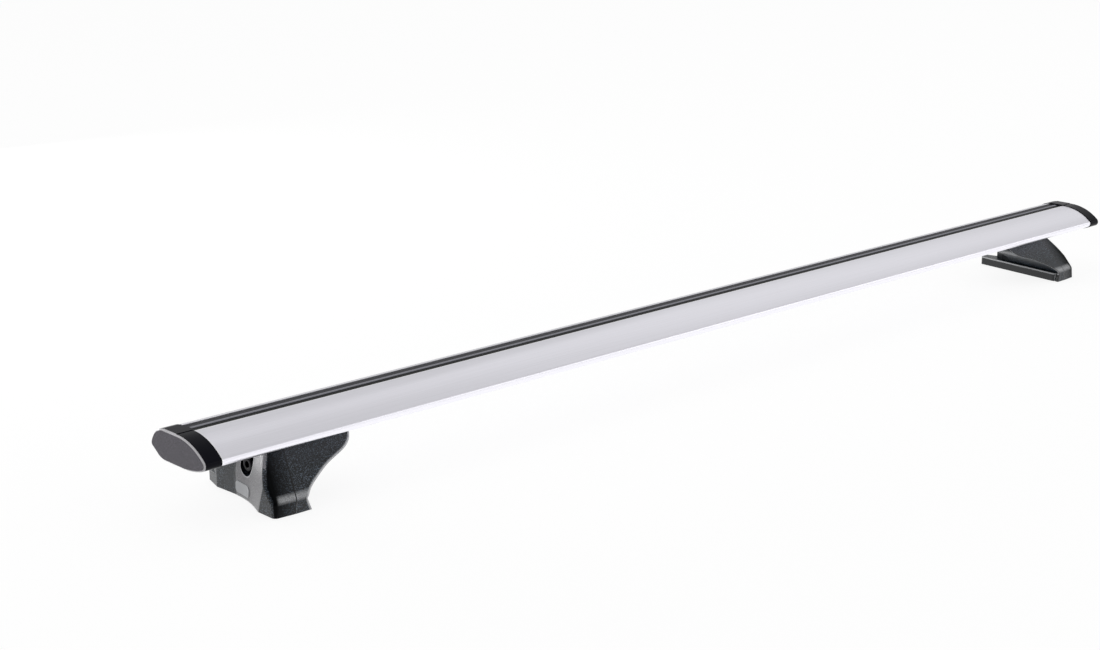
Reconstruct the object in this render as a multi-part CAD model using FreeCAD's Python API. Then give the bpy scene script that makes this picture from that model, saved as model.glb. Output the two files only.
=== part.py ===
import FreeCAD, Part
import math
import os

Vector = FreeCAD.Vector

# Roof rack crossbar with two clamp-on feet.
# X runs along the bar, Y across it from the thin trailing edge to the blunt leading edge, Z is up.
# The origin is on the floor under the middle of the bar, halfway along the depth of the feet.
# Each foot is drawn in its own frame: u is the distance inward from the bar's cut end,
# v is the same as Y and w is the same as Z. The right foot is the mirror image of the left one.

# Bar extrusion
BAR_LENGTH = 1320.0
BAR_WIDTH = 80.0
BAR_HEIGHT = 27.0
BAR_WALL = 2.0
BAR_OFFSET = -12.15
BAR_WEB = 2.0
FRONT_WEB_PLACE = BAR_WIDTH * 0.2375
CORE_FRONT = BAR_WIDTH * 0.45
CORE_REAR = BAR_WIDTH * 0.795

# Accessory slot along the top, with the groove that the rubber strip fills
STRIP_WIDTH = BAR_WIDTH * 0.2375
STRIP_CENTRE = BAR_WIDTH * 0.64375
STRIP_GROOVE_DEPTH = 2.5
SLOT_MOUTH = 11.0
SLOT_LIP = 2.0
SLOT_CAVITY_WIDTH = 20.0
SLOT_CAVITY_HEIGHT = 8.0

# Clamp channel along the underside
CHANNEL_CENTRE = BAR_WIDTH * 0.6
CHANNEL_MOUTH = 10.4
CHANNEL_LIP = 2.5
CHANNEL_CAVITY_WIDTH = 20.0
CHANNEL_CAVITY_HEIGHT = 8.0

# Rubber strip
STRIP_SKIN = 1.9
STRIP_RIDGE_WIDTH = 2.6
STRIP_RIDGE_HEIGHT = 0.6
STRIP_BARB_WIDTH = 14.0
STRIP_BARB_HEIGHT = 2.2
STRIP_SIDE_GAP = 0.1

# End cap
CAP_LENGTH = 18.0
CAP_PROUD = 0.7
CAP_WALL = 2.5
CAP_BEVEL = 1.6
CAP_PLUG_LENGTH = 22.0
CAP_PLUG_GAP = 0.35
CAP_TONGUE_LENGTH = 3.0
CAP_LAND_RISE = 0.45

# Foot, overall
FOOT_HEIGHT = 51.4
FOOT_DEPTH = 123.0
SHELL_WALL = 2.6
SHELL_TOP_GAP = 0.4
SKIRT_HEIGHT = 13.4
SKIRT_LIFT = 0.8
SKIRT_DRAFT = 1.3
FRONT_TOP_PLACE = -28.2
REAR_TOP_PLACE = 16.0
REAR_END_PLACE = 50.0
BEND_RADIUS = 5.0
CREASE_PLACE = 68.3
CREASE_LEAN = 0.132
CREASE_TURN = 4.5
WING_EDGE = 0.7

# Foot, outer end seen from above: a flared cheek between two straight runs
TOE_OUTER = 44.5
CHEEK_START = -35.3
CHEEK_START_DRIFT = 0.332
CHEEK_OUTER = 54.4
CHEEK_TURN = -8.0
CHEEK_ROUND = 110.0
HEEL_OUTER = 55.4
HEEL_PLACE = 16.0
HEEL_NECK = 54.0
TAIL_PLACE = 41.0
TAIL_OUTER = 59.8
CHEEK_LEANS = [(-5.0, 0.0), (4.0, 0.0), (13.0, 0.0), (22.0, 0.2), (30.0, 1.2), (42.0, 6.0), (54.0, 11.5)]
CORNER_ROUND = 4.6

# Foot, inner side: a swept wing seen from the front, and a base that narrows to the rear
TOE_INNER = 83.1
TAIL_INNER = 71.7
WAIST_PLACE = 79.4
WAIST_HEIGHT = 10.7
WING_REACH = 152.0
NOTCH_U = 76.0
NOTCH_V = 14.0
NOTCH_RUN = [(-6.0, 16.0, 8.0), (-16.0, 31.0, 2.0)]
NOTCH_BACK = 35.0

# Base plinth and rubber pad
PLINTH_TOP = 11.0
PLINTH_LIFT = 0.8
PLINTH_GAP = 0.4
PAD_THICKNESS = 3.4
PAD_RIM = 2.6
PAD_GAP = 0.2

# Steel bracket
PLATE = 3.0
UPRIGHT_PLACE = 66.0
BRACKET_TOP_FRONT = -17.5
BRACKET_TOP_REAR = 11.0
BRACKET_FOOT_FRONT = -30.0
BRACKET_TOP_REACH = 112.0
BRACKET_BEND = 8.0
BRACKET_BASE = [(52, -53, 4), (73, -53, 4), (70, 10, 2), (60, 10, 2), (58, -8, 10), (52, -30, 10)]
BRACKET_ARCH = [(76, 21, 10), (98, 33, 10)]
ROOF_BOLT_HOLE = 8.4
ROOF_BOLT_U = 63.0
ROOF_BOLT_V = -41.0

# Clamp screw, thrust washer, wedge and channel hook
SCREW_HEIGHT = 33.0
SCREW_DIAMETER = 8.0
SCREW_LENGTH = 24.0
SCREW_HEAD_DIAMETER = 13.0
SCREW_HEAD_HEIGHT = 8.0
SCREW_SOCKET = 6.0
SCREW_SOCKET_DEPTH = 4.5
SCREW_RUNNING_GAP = 0.08
WASHER_DIAMETER = 17.0
WASHER_THICKNESS = 1.6
KEY_HOLE = 20.5
KEY_COLLAR_WALL = 1.8
WEDGE_START = 72.0
WEDGE_BLOCK = 10.0
WEDGE_END = 104.0
WEDGE_WIDTH = 18.4
WEDGE_SLOPE = 0.25
WEDGE_BOTTOM = 26.0
HOOK_START = 90.0
HOOK_LENGTH = 12.0
HOOK_STEM = 8.0
HOOK_HEAD_WIDTH = 18.0
HOOK_HEAD_LENGTH = 24.0
HOOK_HEAD_THICKNESS = 4.0
HOOK_BAR_BOTTOM = 32.0
HOOK_BAR_TOP = 37.0
SLIDE_GAP = 0.1
SLOT_GAP = 0.3

# Cover screws from below and the plain plate on the cheek
COVER_SCREW_DIAMETER = 4.0
COVER_SCREW_HEAD = 7.5
COVER_SCREW_HEAD_HEIGHT = 2.6
COVER_SCREW_LENGTH = 8.0
COVER_SCREW_PLACES = [(56.0, -50.5), (62.0, 36.0)]
BOSS_DIAMETER = 8.4
BADGE_WIDTH = 23.5
BADGE_HEIGHT = 10.8
BADGE_THICKNESS = 1.0
BADGE_CORNER = 3.6
BADGE_SINK = 0.5
BADGE_V = 1.0
BADGE_W = 9.4

HALF_LENGTH = BAR_LENGTH / 2
HALF_DEPTH = FOOT_DEPTH / 2
BAR_FRONT = BAR_OFFSET - BAR_WIDTH / 2
BAR_TOP = FOOT_HEIGHT + BAR_HEIGHT
CHANNEL_V = BAR_FRONT + CHANNEL_CENTRE
STRIP_V = BAR_FRONT + STRIP_CENTRE
SHELL_TOP = FOOT_HEIGHT - SHELL_TOP_GAP
SHELL_SEAT = PLINTH_TOP + 0.3
FAR = 400.0


def in_plan(height):
    return lambda a, b: Vector(a, b, height)


def in_side(along):
    return lambda a, b: Vector(along, a, b)


def in_front(across):
    return lambda a, b: Vector(a, across, b)


def loop(corners, place):
    """Closed outline through corners (a, b) or (a, b, radius), with a tangent arc at each radius."""
    turns = []
    for number, corner in enumerate(corners):
        here = Vector(corner[0], corner[1], 0)
        radius = corner[2] if len(corner) > 2 else 0
        previous = corners[number - 1]
        following = corners[(number + 1) % len(corners)]
        back = (Vector(previous[0], previous[1], 0) - here).normalize()
        ahead = (Vector(following[0], following[1], 0) - here).normalize()
        if radius == 0:
            turns.append((here, None, here))
            continue
        half = back.getAngle(ahead) / 2
        reach = radius / math.tan(half)
        middle = here + (back + ahead).normalize() * (radius / math.sin(half) - radius)
        turns.append((here + back * reach, middle, here + ahead * reach))
    edges = []
    for number, (start, middle, end) in enumerate(turns):
        last = turns[number - 1][2]
        if last.distanceToPoint(start) > 1e-6:
            edges.append(Part.makeLine(place(last.x, last.y), place(start.x, start.y)))
        if middle is not None:
            arc = Part.Arc(place(start.x, start.y), place(middle.x, middle.y), place(end.x, end.y))
            edges.append(arc.toShape())
    return Part.Wire(edges)


def prism(wire, way):
    return Part.Face(wire).extrude(way)


def side_prism(corners, start, end):
    return prism(loop(corners, in_side(start)), Vector(end - start, 0, 0))


def plan_prism(corners, bottom, top):
    return prism(loop(corners, in_plan(bottom)), Vector(0, 0, top - bottom))


def front_prism(corners, start, end):
    return prism(loop(corners, in_front(start)), Vector(0, end - start, 0))


def block(u0, u1, v0, v1, w0, w1):
    return Part.makeBox(u1 - u0, v1 - v0, w1 - w0, Vector(u0, v0, w0))


def rod(diameter, start, way, length):
    return Part.makeCylinder(diameter / 2, length, start, way)


ALONG = Vector(1, 0, 0)
UP = Vector(0, 0, 1)


# Bar outline: a chain of arcs, each leaving in the direction in which the one before it arrived
REAR_ARCS = [(0.850, 0.954), (0.956, 0.722), (0.999, 0.489), (0.981, 0.326), (0.881, 0.122)]
FRONT_ARCS = [(0.150, 0.100), (0.0375, 0.207), (0.001, 0.352), (0.0192, 0.485)]
UNDERSIDE_FRONT = 0.4375


def bar_point(across, up):
    return Vector(0, BAR_FRONT + across * BAR_WIDTH, FOOT_HEIGHT + up * BAR_HEIGHT)


def smooth_arc(start, heading, end):
    """Arc from start towards heading that ends at end; gives the edge and its heading there."""
    chord = end - start
    half = math.atan2(chord.z, chord.y) - heading
    half = math.atan2(math.sin(half), math.cos(half))
    side = Vector(0, -chord.z, chord.y).normalize()
    bulge = -chord.Length / 2 * math.tan(half / 2)
    middle = start + chord * 0.5 + side * bulge
    return Part.Arc(start, middle, end).toShape(), heading + 2 * half


def level_end(start, heading, height):
    """Point at a height where an arc from start towards heading arrives level."""
    return Vector(0, start.y + (start.z - height) * math.tan(heading / 2), height)


def bar_outline():
    edges = []
    slot_rear = Vector(0, STRIP_V + STRIP_WIDTH / 2, BAR_TOP)
    slot_front = Vector(0, STRIP_V - STRIP_WIDTH / 2, BAR_TOP)
    here, heading = slot_rear, 0.0
    for across, up in REAR_ARCS:
        there = bar_point(across, up)
        edge, heading = smooth_arc(here, heading, there)
        edges.append(edge)
        here = there
    there = level_end(here, heading, FOOT_HEIGHT)
    edges.append(smooth_arc(here, heading, there)[0])
    here = there
    there = bar_point(UNDERSIDE_FRONT, 0.0)
    edges.append(Part.makeLine(here, there))
    here, heading = there, math.pi
    for across, up in FRONT_ARCS:
        there = bar_point(across, up)
        edge, heading = smooth_arc(here, heading, there)
        edges.append(edge)
        here = there
    there = level_end(here, heading + math.pi, BAR_TOP)
    edges.append(smooth_arc(here, heading, there)[0])
    edges.append(Part.makeLine(there, slot_front))
    edges.append(Part.makeLine(slot_front, slot_rear))
    return Part.Wire(edges)


def flat_box(v0, v1, w0, w1):
    """Flat rectangle across the bar."""
    corners = [(v0, w0), (v1, w0), (v1, w1), (v0, w1)]
    return Part.Face(loop(corners, in_side(0)))


def bar_face():
    return Part.Face(bar_outline())


def chamber_faces(gap):
    """Hollow chambers of the bar, each drawn smaller by gap."""
    hollow = bar_face().makeOffset2D(-BAR_WALL - gap)
    low = FOOT_HEIGHT - 1
    high = BAR_TOP + 1
    web_v = BAR_FRONT + FRONT_WEB_PLACE
    core = flat_box(BAR_FRONT + CORE_FRONT - gap, BAR_FRONT + CORE_REAR + gap, low, high)
    web = flat_box(web_v - BAR_WEB / 2 - gap, web_v + BAR_WEB / 2 + gap, low, high)
    return hollow.cut(core).cut(web).Faces


def groove_face():
    half = STRIP_WIDTH / 2
    return flat_box(STRIP_V - half, STRIP_V + half, BAR_TOP - STRIP_GROOVE_DEPTH, BAR_TOP + 1)


def slot_faces():
    lip_top = BAR_TOP - STRIP_GROOVE_DEPTH
    lip_bottom = lip_top - SLOT_LIP
    mouth = flat_box(STRIP_V - SLOT_MOUTH / 2, STRIP_V + SLOT_MOUTH / 2, lip_bottom - 1, lip_top + 1)
    half = SLOT_CAVITY_WIDTH / 2
    cavity = flat_box(STRIP_V - half, STRIP_V + half, lip_bottom - SLOT_CAVITY_HEIGHT, lip_bottom)
    return [groove_face(), mouth, cavity]


def channel_faces():
    lip_top = FOOT_HEIGHT + CHANNEL_LIP
    half = CHANNEL_MOUTH / 2
    mouth = flat_box(CHANNEL_V - half, CHANNEL_V + half, FOOT_HEIGHT - 1, lip_top + 1)
    half = CHANNEL_CAVITY_WIDTH / 2
    cavity = flat_box(CHANNEL_V - half, CHANNEL_V + half, lip_top, lip_top + CHANNEL_CAVITY_HEIGHT)
    return [mouth, cavity]


def bar_extrusion():
    section = bar_face()
    for face in chamber_faces(0) + slot_faces() + channel_faces():
        section = section.cut(face)
    bar = section.Faces[0].extrude(Vector(BAR_LENGTH, 0, 0))
    bar.translate(Vector(-HALF_LENGTH, 0, 0))
    return bar


def slot_strip():
    side = STRIP_WIDTH / 2 - STRIP_SIDE_GAP
    ridge = STRIP_RIDGE_WIDTH / 2
    stem = SLOT_MOUTH / 2 - STRIP_SIDE_GAP
    barb = STRIP_BARB_WIDTH / 2
    floor = BAR_TOP - STRIP_GROOVE_DEPTH
    skin = floor + STRIP_SKIN
    lip = floor - SLOT_LIP - STRIP_SIDE_GAP
    crest = skin + STRIP_RIDGE_HEIGHT
    root = ridge + STRIP_RIDGE_HEIGHT
    corners = [
        (-side, floor), (-side, skin, 0.4), (-root, skin), (-ridge, crest, 0.3),
        (ridge, crest, 0.3), (root, skin), (side, skin, 0.4), (side, floor),
        (stem, floor), (stem, lip), (barb, lip), (stem, lip - STRIP_BARB_HEIGHT),
        (-stem, lip - STRIP_BARB_HEIGHT), (-barb, lip), (-stem, lip), (-stem, floor),
    ]
    start = -HALF_LENGTH + CAP_TONGUE_LENGTH + STRIP_SIDE_GAP
    corners = [(STRIP_V + corner[0],) + corner[1:] for corner in corners]
    return side_prism(corners, start, -start)


def cap_rim(growth, along):
    """Bar's outline drawn larger by growth, at a place along the bar."""
    rim = bar_outline().makeOffset2D(growth)
    rim.translate(Vector(along, 0, 0))
    return rim


def end_cap():
    """Left end cap: a hollow hood with a bevelled face and plugs that fit the bar's chambers."""
    shoulder = CAP_BEVEL - CAP_LENGTH
    rims = [cap_rim(CAP_PROUD, shoulder), cap_rim(CAP_PROUD - CAP_BEVEL, -CAP_LENGTH)]
    hood = Part.Face(rims[0]).extrude(Vector(-shoulder, 0, 0))
    hood = hood.fuse(Part.makeLoft(rims, True, True))
    room = Part.Face(cap_rim(CAP_PROUD - CAP_WALL, CAP_WALL - CAP_LENGTH))
    hood = hood.cut(room.extrude(Vector(CAP_LENGTH - CAP_WALL, 0, 0)))
    for face in chamber_faces(CAP_PLUG_GAP):
        plug = face.extrude(Vector(CAP_LENGTH - CAP_WALL + CAP_PLUG_LENGTH, 0, 0))
        plug.translate(Vector(CAP_WALL - CAP_LENGTH, 0, 0))
        hood = hood.fuse(plug)
    half = STRIP_WIDTH / 2 - STRIP_SIDE_GAP
    floor = BAR_TOP - STRIP_GROOVE_DEPTH
    crest = BAR_TOP + CAP_PROUD
    tongue = block(-CAP_WALL, CAP_TONGUE_LENGTH, STRIP_V - half, STRIP_V + half, floor, BAR_TOP)
    land = block(shoulder, 0, STRIP_V - half, STRIP_V + half, BAR_TOP - 1, crest + CAP_LAND_RISE)
    hood = hood.fuse([tongue, land]).removeSplitter()
    hood.translate(Vector(-HALF_LENGTH, 0, 0))
    return hood


def lean_place(height):
    """Place of the leaning front face at a height above the skirt's bend."""
    bend = -HALF_DEPTH + SKIRT_DRAFT
    slope = (FRONT_TOP_PLACE - bend) / (FOOT_HEIGHT - SKIRT_HEIGHT)
    return bend + slope * (height - SKIRT_HEIGHT)


def front_profile(inset, low, high):
    """Front of the foot seen from its end: skirt, rounded bend and leaning face."""
    slope = lean_place(1) - lean_place(0)
    shift = inset * math.hypot(1, slope)
    bend = -HALF_DEPTH + SKIRT_DRAFT
    bend_height = SKIRT_HEIGHT - (shift - inset) / slope
    return [
        (bend + inset - SKIRT_DRAFT * (SKIRT_HEIGHT - low) / SKIRT_HEIGHT, low),
        (bend + inset, bend_height, BEND_RADIUS - inset), (lean_place(high) + shift, high),
    ]


def side_profile(inset, low, high):
    """Foot seen from its end, with a second slope behind."""
    slope = (REAR_END_PLACE - REAR_TOP_PLACE) / (FOOT_HEIGHT - SKIRT_HEIGHT)
    shift = inset * math.hypot(1, slope)
    bend_height = SKIRT_HEIGHT - (shift - inset) / slope
    top = REAR_TOP_PLACE - shift - (high - FOOT_HEIGHT) * slope
    rear = [(top, high), (REAR_END_PLACE - inset, bend_height), (REAR_END_PLACE - inset, low)]
    return front_profile(inset, low, high) + rear


def turned_front(inset, low, high):
    """Everything behind the front faces, turned back a little about their crease."""
    corners = front_profile(inset, low, high) + [(FAR, high), (FAR, low)]
    body = side_prism(corners, -FAR / 2, FAR)
    crease = Vector(CREASE_PLACE, -HALF_DEPTH + SKIRT_DRAFT, SKIRT_HEIGHT)
    return body.rotate(crease, Vector(CREASE_LEAN, 0, 1), -CREASE_TURN)


def cheek_plan(level, lean):
    """Foot from above at one level, with nothing outward of the flared outer end."""
    toe_turn = CHEEK_START - CHEEK_START_DRIFT * level
    return [
        (TOE_OUTER + lean, -FAR / 2), (TOE_OUTER + lean, toe_turn, 6),
        (CHEEK_OUTER + lean, CHEEK_TURN, CHEEK_ROUND),
        (HEEL_OUTER + lean, HEEL_PLACE, 1), (HEEL_NECK + lean, TAIL_PLACE, 1),
        (TAIL_OUTER + lean, HALF_DEPTH),
        (TAIL_OUTER + lean + FAR / 8, FAR / 2), (FAR, FAR / 2), (FAR, -FAR / 2),
    ]


def cheek_solid(inset):
    """Everything inward of the flared outer end, whose upper part leans inward."""
    wires = [loop(cheek_plan(level, inset + lean), in_plan(level)) for level, lean in CHEEK_LEANS]
    return Part.makeLoft(wires, True, False)


# Front view of the wing edge, as shares of its reach and rise from the waist
WING_SHARES = [
    (0.0, 0.0), (0.063, 0.118), (0.247, 0.307), (0.505, 0.506),
    (0.745, 0.636), (0.909, 0.769), (0.983, 0.907),
]


def wing_points(inset):
    """Wing edge from the waist to the bar, moved inward at right angles by inset."""
    reach = WING_REACH - WAIST_PLACE
    rise = FOOT_HEIGHT - WAIST_HEIGHT
    points = [(WAIST_PLACE + a * reach, WAIST_HEIGHT + b * rise) for a, b in WING_SHARES]
    points.append((WING_REACH, FOOT_HEIGHT))
    moved = []
    for number, (a, b) in enumerate(points):
        before = points[max(number - 1, 0)]
        after = points[min(number + 1, len(points) - 1)]
        run = after[0] - before[0]
        climb = after[1] - before[1]
        shift = inset / math.hypot(run, climb)
        moved.append((a - shift * climb, b + shift * run))
    return moved


def wing_solid(inset, low, high):
    """Everything outward of the wing edge, swept to the rear along the base's inner edge."""
    points = [Vector(a, -HALF_DEPTH, b) for a, b in wing_points(inset)]
    curve = Part.BSplineCurve()
    curve.interpolate(points)
    top = Vector(WING_REACH - inset, -HALF_DEPTH, high + 1)
    toe = Vector(TOE_INNER - inset, -HALF_DEPTH, low)
    lines = [
        Part.makeLine(points[-1], top), Part.makeLine(top, Vector(0, -HALF_DEPTH, high + 1)),
        Part.makeLine(Vector(0, -HALF_DEPTH, high + 1), Vector(0, -HALF_DEPTH, low)),
        Part.makeLine(Vector(0, -HALF_DEPTH, low), toe), Part.makeLine(toe, points[0]),
    ]
    wire = Part.Wire([curve.toShape()] + lines)
    return prism(wire, Vector(TAIL_INNER - TOE_INNER, FOOT_DEPTH, 0))


def notch_solid(inset, low, high):
    """Plan of the cover without its cut-away rear inner corner."""
    corners = [(0, -FAR / 2), (FAR, -FAR / 2), (FAR, NOTCH_V), (NOTCH_U, NOTCH_V, 3)]
    corners += [(NOTCH_U + a, NOTCH_V + b, radius) for a, b, radius in NOTCH_RUN]
    corners.append((0, NOTCH_V + NOTCH_BACK))
    plan = Part.Face(loop(corners, in_plan(low)))
    if inset:
        plan = plan.makeOffset2D(-inset)
    return plan.extrude(Vector(0, 0, high - low))


def cover_block(inset, low, high):
    """Solid form of the cover, drawn smaller all round by inset."""
    body = side_prism(side_profile(inset, 0, high), 0, WING_REACH + 10)
    body = body.common(turned_front(inset, -FAR / 8, high + FAR / 8)).common(cheek_solid(inset))
    body = body.makeFillet(CORNER_ROUND - inset, corner_edges(body, inset))
    body = body.common(wing_solid(inset, -1, high + 1)).common(notch_solid(inset, -1, high + 1))
    return body.common(block(0, FAR, -FAR, FAR, low, high + 1))


def middle_of(edge):
    return edge.valueAt((edge.FirstParameter + edge.LastParameter) / 2)


def corner_edges(body, inset):
    """Edges between the outer end and the front faces."""
    slope = lean_place(1) - lean_place(0)
    found = []
    for edge in body.Edges:
        point = middle_of(edge)
        skirt = -HALF_DEPTH + SKIRT_DRAFT + inset
        front = max(skirt, lean_place(point.z) + inset * math.hypot(1, slope))
        upright = edge.BoundBox.ZLength > 0.3 and edge.BoundBox.XMin < TOE_OUTER + inset + 3
        if upright and abs(point.y - front) < 3:
            found.append(edge)
    return found


def wing_edges(body):
    """Edges between the front faces and the wing's swept side."""
    found = []
    for edge in body.Edges:
        point = middle_of(edge)
        if edge.BoundBox.ZLength > 1 and point.x > WAIST_PLACE and point.y < lean_place(point.z) + 1:
            found.append(edge)
    return found


def skirt_room(inset):
    """Space under the cover's walls for the plinth, open to the inner side and the rear."""
    front = -HALF_DEPTH + SKIRT_DRAFT + inset
    room = block(0, FAR, front, FAR, 0, SHELL_SEAT)
    return room.common(cheek_solid(inset))


def key_hole_tools():
    """Collar round the key hole, and the hole itself."""
    mouth_u = TOE_OUTER + 2
    start = Vector(mouth_u, CHANNEL_V, SCREW_HEIGHT)
    depth = UPRIGHT_PLACE - 2 - mouth_u
    collar = rod(KEY_HOLE + 2 * KEY_COLLAR_WALL, start, ALONG, depth)
    hole = rod(KEY_HOLE, start - ALONG, ALONG, depth + 2)
    return collar, hole


def foot_shell():
    outer = cover_block(0, SKIRT_LIFT, SHELL_TOP)
    outer = outer.makeChamfer(WING_EDGE, wing_edges(outer))
    tail_wall = block(0, FAR, TAIL_PLACE, HALF_DEPTH, SKIRT_LIFT, PLINTH_TOP).common(cheek_solid(0))
    outer = outer.fuse(tail_wall)
    inner = cover_block(SHELL_WALL, SHELL_SEAT - 0.01, SHELL_TOP + 2)
    shell = outer.cut(inner).cut(skirt_room(SHELL_WALL))
    collar, hole = key_hole_tools()
    shell = shell.fuse(collar.common(outer)).cut(hole)
    for boss in boss_rods(BOSS_DIAMETER, SHELL_SEAT, FOOT_HEIGHT):
        shell = shell.fuse(boss.common(outer))
    for hole in boss_rods(COVER_SCREW_DIAMETER, SHELL_SEAT - 1, SHELL_SEAT + COVER_SCREW_LENGTH):
        shell = shell.cut(hole)
    return shell.cut(badge_pocket()).removeSplitter()


def boss_rods(diameter, bottom, top):
    return [rod(diameter, Vector(u, v, bottom), UP, top - bottom) for u, v in COVER_SCREW_PLACES]


def badge_pocket():
    """Space that the plain plate fills, from its seat outward."""
    side = BADGE_WIDTH / 2
    height = BADGE_HEIGHT / 2
    quarters = ((-1, -1), (1, -1), (1, 1), (-1, 1))
    corners = [(BADGE_V + a * side, BADGE_W + b * height, BADGE_CORNER) for a, b in quarters]
    return side_prism(corners, TOE_OUTER - 5, HEEL_OUTER + 5).cut(cheek_solid(BADGE_SINK))


def badge_plate():
    """Plain plate that follows the cheek."""
    return badge_pocket().common(cheek_solid(BADGE_SINK - BADGE_THICKNESS))


def base_solid(rim, bottom, top):
    """Base inside the cover's walls, with a margin of rim all round."""
    wall = SHELL_WALL + PLINTH_GAP + rim
    front = -HALF_DEPTH + SKIRT_DRAFT + wall
    rear = HALF_DEPTH - rim
    corners = [(0, front), (TOE_INNER - rim, front, 4), (TAIL_INNER - rim, rear, 4), (0, rear)]
    return plan_prism(corners, bottom, top).common(cheek_solid(wall))


def base_plinth():
    body = base_solid(0, PLINTH_LIFT, PLINTH_TOP)
    body = body.cut(base_solid(PAD_RIM, 0, PAD_THICKNESS))
    body = body.cut(rod(ROOF_BOLT_HOLE, Vector(ROOF_BOLT_U, ROOF_BOLT_V, 0), UP, PLINTH_TOP + 1))
    for hole in boss_rods(COVER_SCREW_DIAMETER + 0.6, 0, PLINTH_TOP + 1):
        body = body.cut(hole)
    for hole in boss_rods(COVER_SCREW_HEAD + 0.6, 0, PAD_THICKNESS + COVER_SCREW_HEAD_HEIGHT):
        body = body.cut(hole)
    return body


def rubber_pad():
    body = base_solid(PAD_RIM + PAD_GAP, 0, PAD_THICKNESS)
    return body.cut(rod(ROOF_BOLT_HOLE + 8, Vector(ROOF_BOLT_U, ROOF_BOLT_V, -1), UP, PAD_THICKNESS + 2))


def cover_screws():
    solids = []
    head_top = PAD_THICKNESS + COVER_SCREW_HEAD_HEIGHT
    heads = boss_rods(COVER_SCREW_HEAD, PAD_THICKNESS, head_top)
    shanks = boss_rods(COVER_SCREW_DIAMETER - 0.2, head_top - 0.5, head_top + COVER_SCREW_LENGTH)
    for head, shank in zip(heads, shanks):
        solids.append(head.fuse(shank).removeSplitter())
    return Part.makeCompound(solids)


def steel_bracket():
    """Bent steel: a base strap, an upright for the screw and a cup under the bar."""
    top = FOOT_HEIGHT
    under = FOOT_HEIGHT - PLATE
    floor = PLINTH_TOP
    base = plan_prism(BRACKET_BASE, floor, floor + PLATE)
    cup_side = [
        (BRACKET_FOOT_FRONT, floor), (BRACKET_TOP_REAR, floor),
        (BRACKET_TOP_REAR, top), (BRACKET_TOP_FRONT, top),
    ]
    cup_room = [
        (BRACKET_FOOT_FRONT + PLATE, floor - 1), (BRACKET_TOP_REAR - PLATE, floor - 1),
        (BRACKET_TOP_REAR - PLATE, under), (BRACKET_TOP_FRONT + PLATE, under),
    ]
    cup = side_prism(cup_side, UPRIGHT_PLACE, BRACKET_TOP_REACH)
    cup = cup.cut(side_prism(cup_room, UPRIGHT_PLACE + PLATE, BRACKET_TOP_REACH + 1))
    lug = under - 2
    strap_edge = BRACKET_BASE[2][0]
    web_line = [(UPRIGHT_PLACE, floor), (strap_edge, floor), (strap_edge, floor + PLATE)] + BRACKET_ARCH
    web_line += [(BRACKET_TOP_REACH - 4, lug, 4), (BRACKET_TOP_REACH, lug)]
    web_line += [(BRACKET_TOP_REACH, top), (UPRIGHT_PLACE, top, BRACKET_BEND)]
    cup = cup.common(front_prism(web_line, BRACKET_FOOT_FRONT - 1, BRACKET_TOP_REAR + 1))
    body = base.fuse(cup).removeSplitter()
    stem = HOOK_STEM / 2 + SLOT_GAP
    slot_start = HOOK_START - SLOT_GAP
    body = body.cut(block(slot_start, FAR, CHANNEL_V - stem, CHANNEL_V + stem, under - 1, top + 1))
    body = body.cut(screw_bore(UPRIGHT_PLACE, PLATE))
    for clearance in boss_rods(BOSS_DIAMETER + 1, floor - 1, floor + PLATE + 1):
        body = body.cut(clearance)
    return body.cut(rod(ROOF_BOLT_HOLE, Vector(ROOF_BOLT_U, ROOF_BOLT_V, floor - 1), UP, PLATE + 2))


def screw_bore(start, depth):
    """Running hole for the clamp screw through a wall that starts at start."""
    bore = SCREW_DIAMETER + 2 * SCREW_RUNNING_GAP
    return rod(bore, Vector(start - 1, CHANNEL_V, SCREW_HEIGHT), ALONG, depth + 2)


def thrust_washer():
    start = Vector(UPRIGHT_PLACE - WASHER_THICKNESS, CHANNEL_V, SCREW_HEIGHT)
    disc = rod(WASHER_DIAMETER, start, ALONG, WASHER_THICKNESS)
    return disc.cut(screw_bore(start.x, WASHER_THICKNESS))


def clamp_screw():
    seat = UPRIGHT_PLACE - WASHER_THICKNESS - SLIDE_GAP
    start = Vector(seat - SCREW_HEAD_HEIGHT, CHANNEL_V, SCREW_HEIGHT)
    head = rod(SCREW_HEAD_DIAMETER, start, ALONG, SCREW_HEAD_HEIGHT)
    rim = [edge for edge in head.Edges if edge.BoundBox.XMax < start.x + 0.01]
    head = head.makeChamfer(0.8, rim)
    shank = rod(SCREW_DIAMETER, Vector(seat - 1, CHANNEL_V, SCREW_HEIGHT), ALONG, SCREW_LENGTH + 1)
    corners = []
    for side in range(6):
        angle = math.radians(60 * side)
        size = SCREW_SOCKET / math.sqrt(3)
        corners.append((CHANNEL_V + size * math.cos(angle), SCREW_HEIGHT + size * math.sin(angle)))
    socket = side_prism(corners, start.x - 1, start.x + SCREW_SOCKET_DEPTH)
    return head.fuse(shank).cut(socket).removeSplitter()


def wedge_height(along):
    """Underside of the wedge's prongs; the channel hook's cross bar follows it."""
    return HOOK_BAR_TOP - WEDGE_SLOPE * (along - HOOK_START - HOOK_LENGTH / 2)


def clamp_wedge():
    top = FOOT_HEIGHT - PLATE - SLIDE_GAP
    step = WEDGE_START + WEDGE_BLOCK
    outline = [
        (WEDGE_START, WEDGE_BOTTOM, 2), (step, WEDGE_BOTTOM, 2), (step, wedge_height(step)),
        (WEDGE_END, wedge_height(WEDGE_END), 2), (WEDGE_END, top, 1), (WEDGE_START, top, 1),
    ]
    half = WEDGE_WIDTH / 2
    body = front_prism(outline, CHANNEL_V - half, CHANNEL_V + half)
    gap = HOOK_STEM / 2 + SLOT_GAP
    body = body.cut(block(step, WEDGE_END + 1, CHANNEL_V - gap, CHANNEL_V + gap, 0, top + 1))
    return body.cut(screw_bore(WEDGE_START, WEDGE_BLOCK))


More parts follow.
